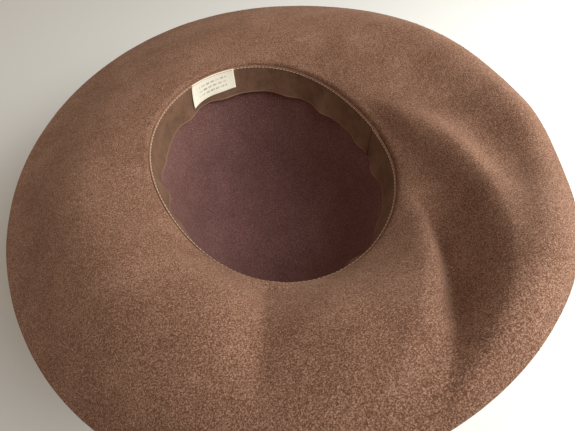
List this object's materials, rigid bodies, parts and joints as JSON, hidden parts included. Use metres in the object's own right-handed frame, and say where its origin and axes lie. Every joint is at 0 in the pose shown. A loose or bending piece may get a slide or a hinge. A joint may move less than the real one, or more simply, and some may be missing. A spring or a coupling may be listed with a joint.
{
  "type": "wide-brimmed felt hat",
  "caption": "Soft brown felt hat with a round open crown, a wide wavy brim that rolls away at its cut edge, a ribbon sweatband and a ribbon hatband with a flat bow.",
  "frame": {"origin": "middle of the small flat on the crown's tip, which the upturned hat rests on", "axes": "+Z out of the head opening, away from the crown's tip; +Y towards the back of the hat, where the label is; -X towards the wearer's left"},
  "size_m": [0.3503, 0.3787, 0.1767],
  "materials": {
    "felt": "dense short-fibre wool or fur felt, matt, with a faint nap",
    "ribbon": "ribbed grosgrain, slight sheen along the ribs",
    "label_tape": "woven cream tape, plain",
    "tan_thread": "twisted sewing thread",
    "brown_thread": "twisted sewing thread"
  },
  "bodies": {
    "root": {"crown": "felt", "brim": "felt", "brim_seam_thread": "brown_thread", "sweatband": "ribbon", "sweatband_thread": "tan_thread", "label": "label_tape", "hatband": "ribbon", "bow_loops": "ribbon", "bow_knot": "ribbon", "bow_tack_front": "brown_thread", "bow_tack_back": "brown_thread"}
  },
  "joints": []
}
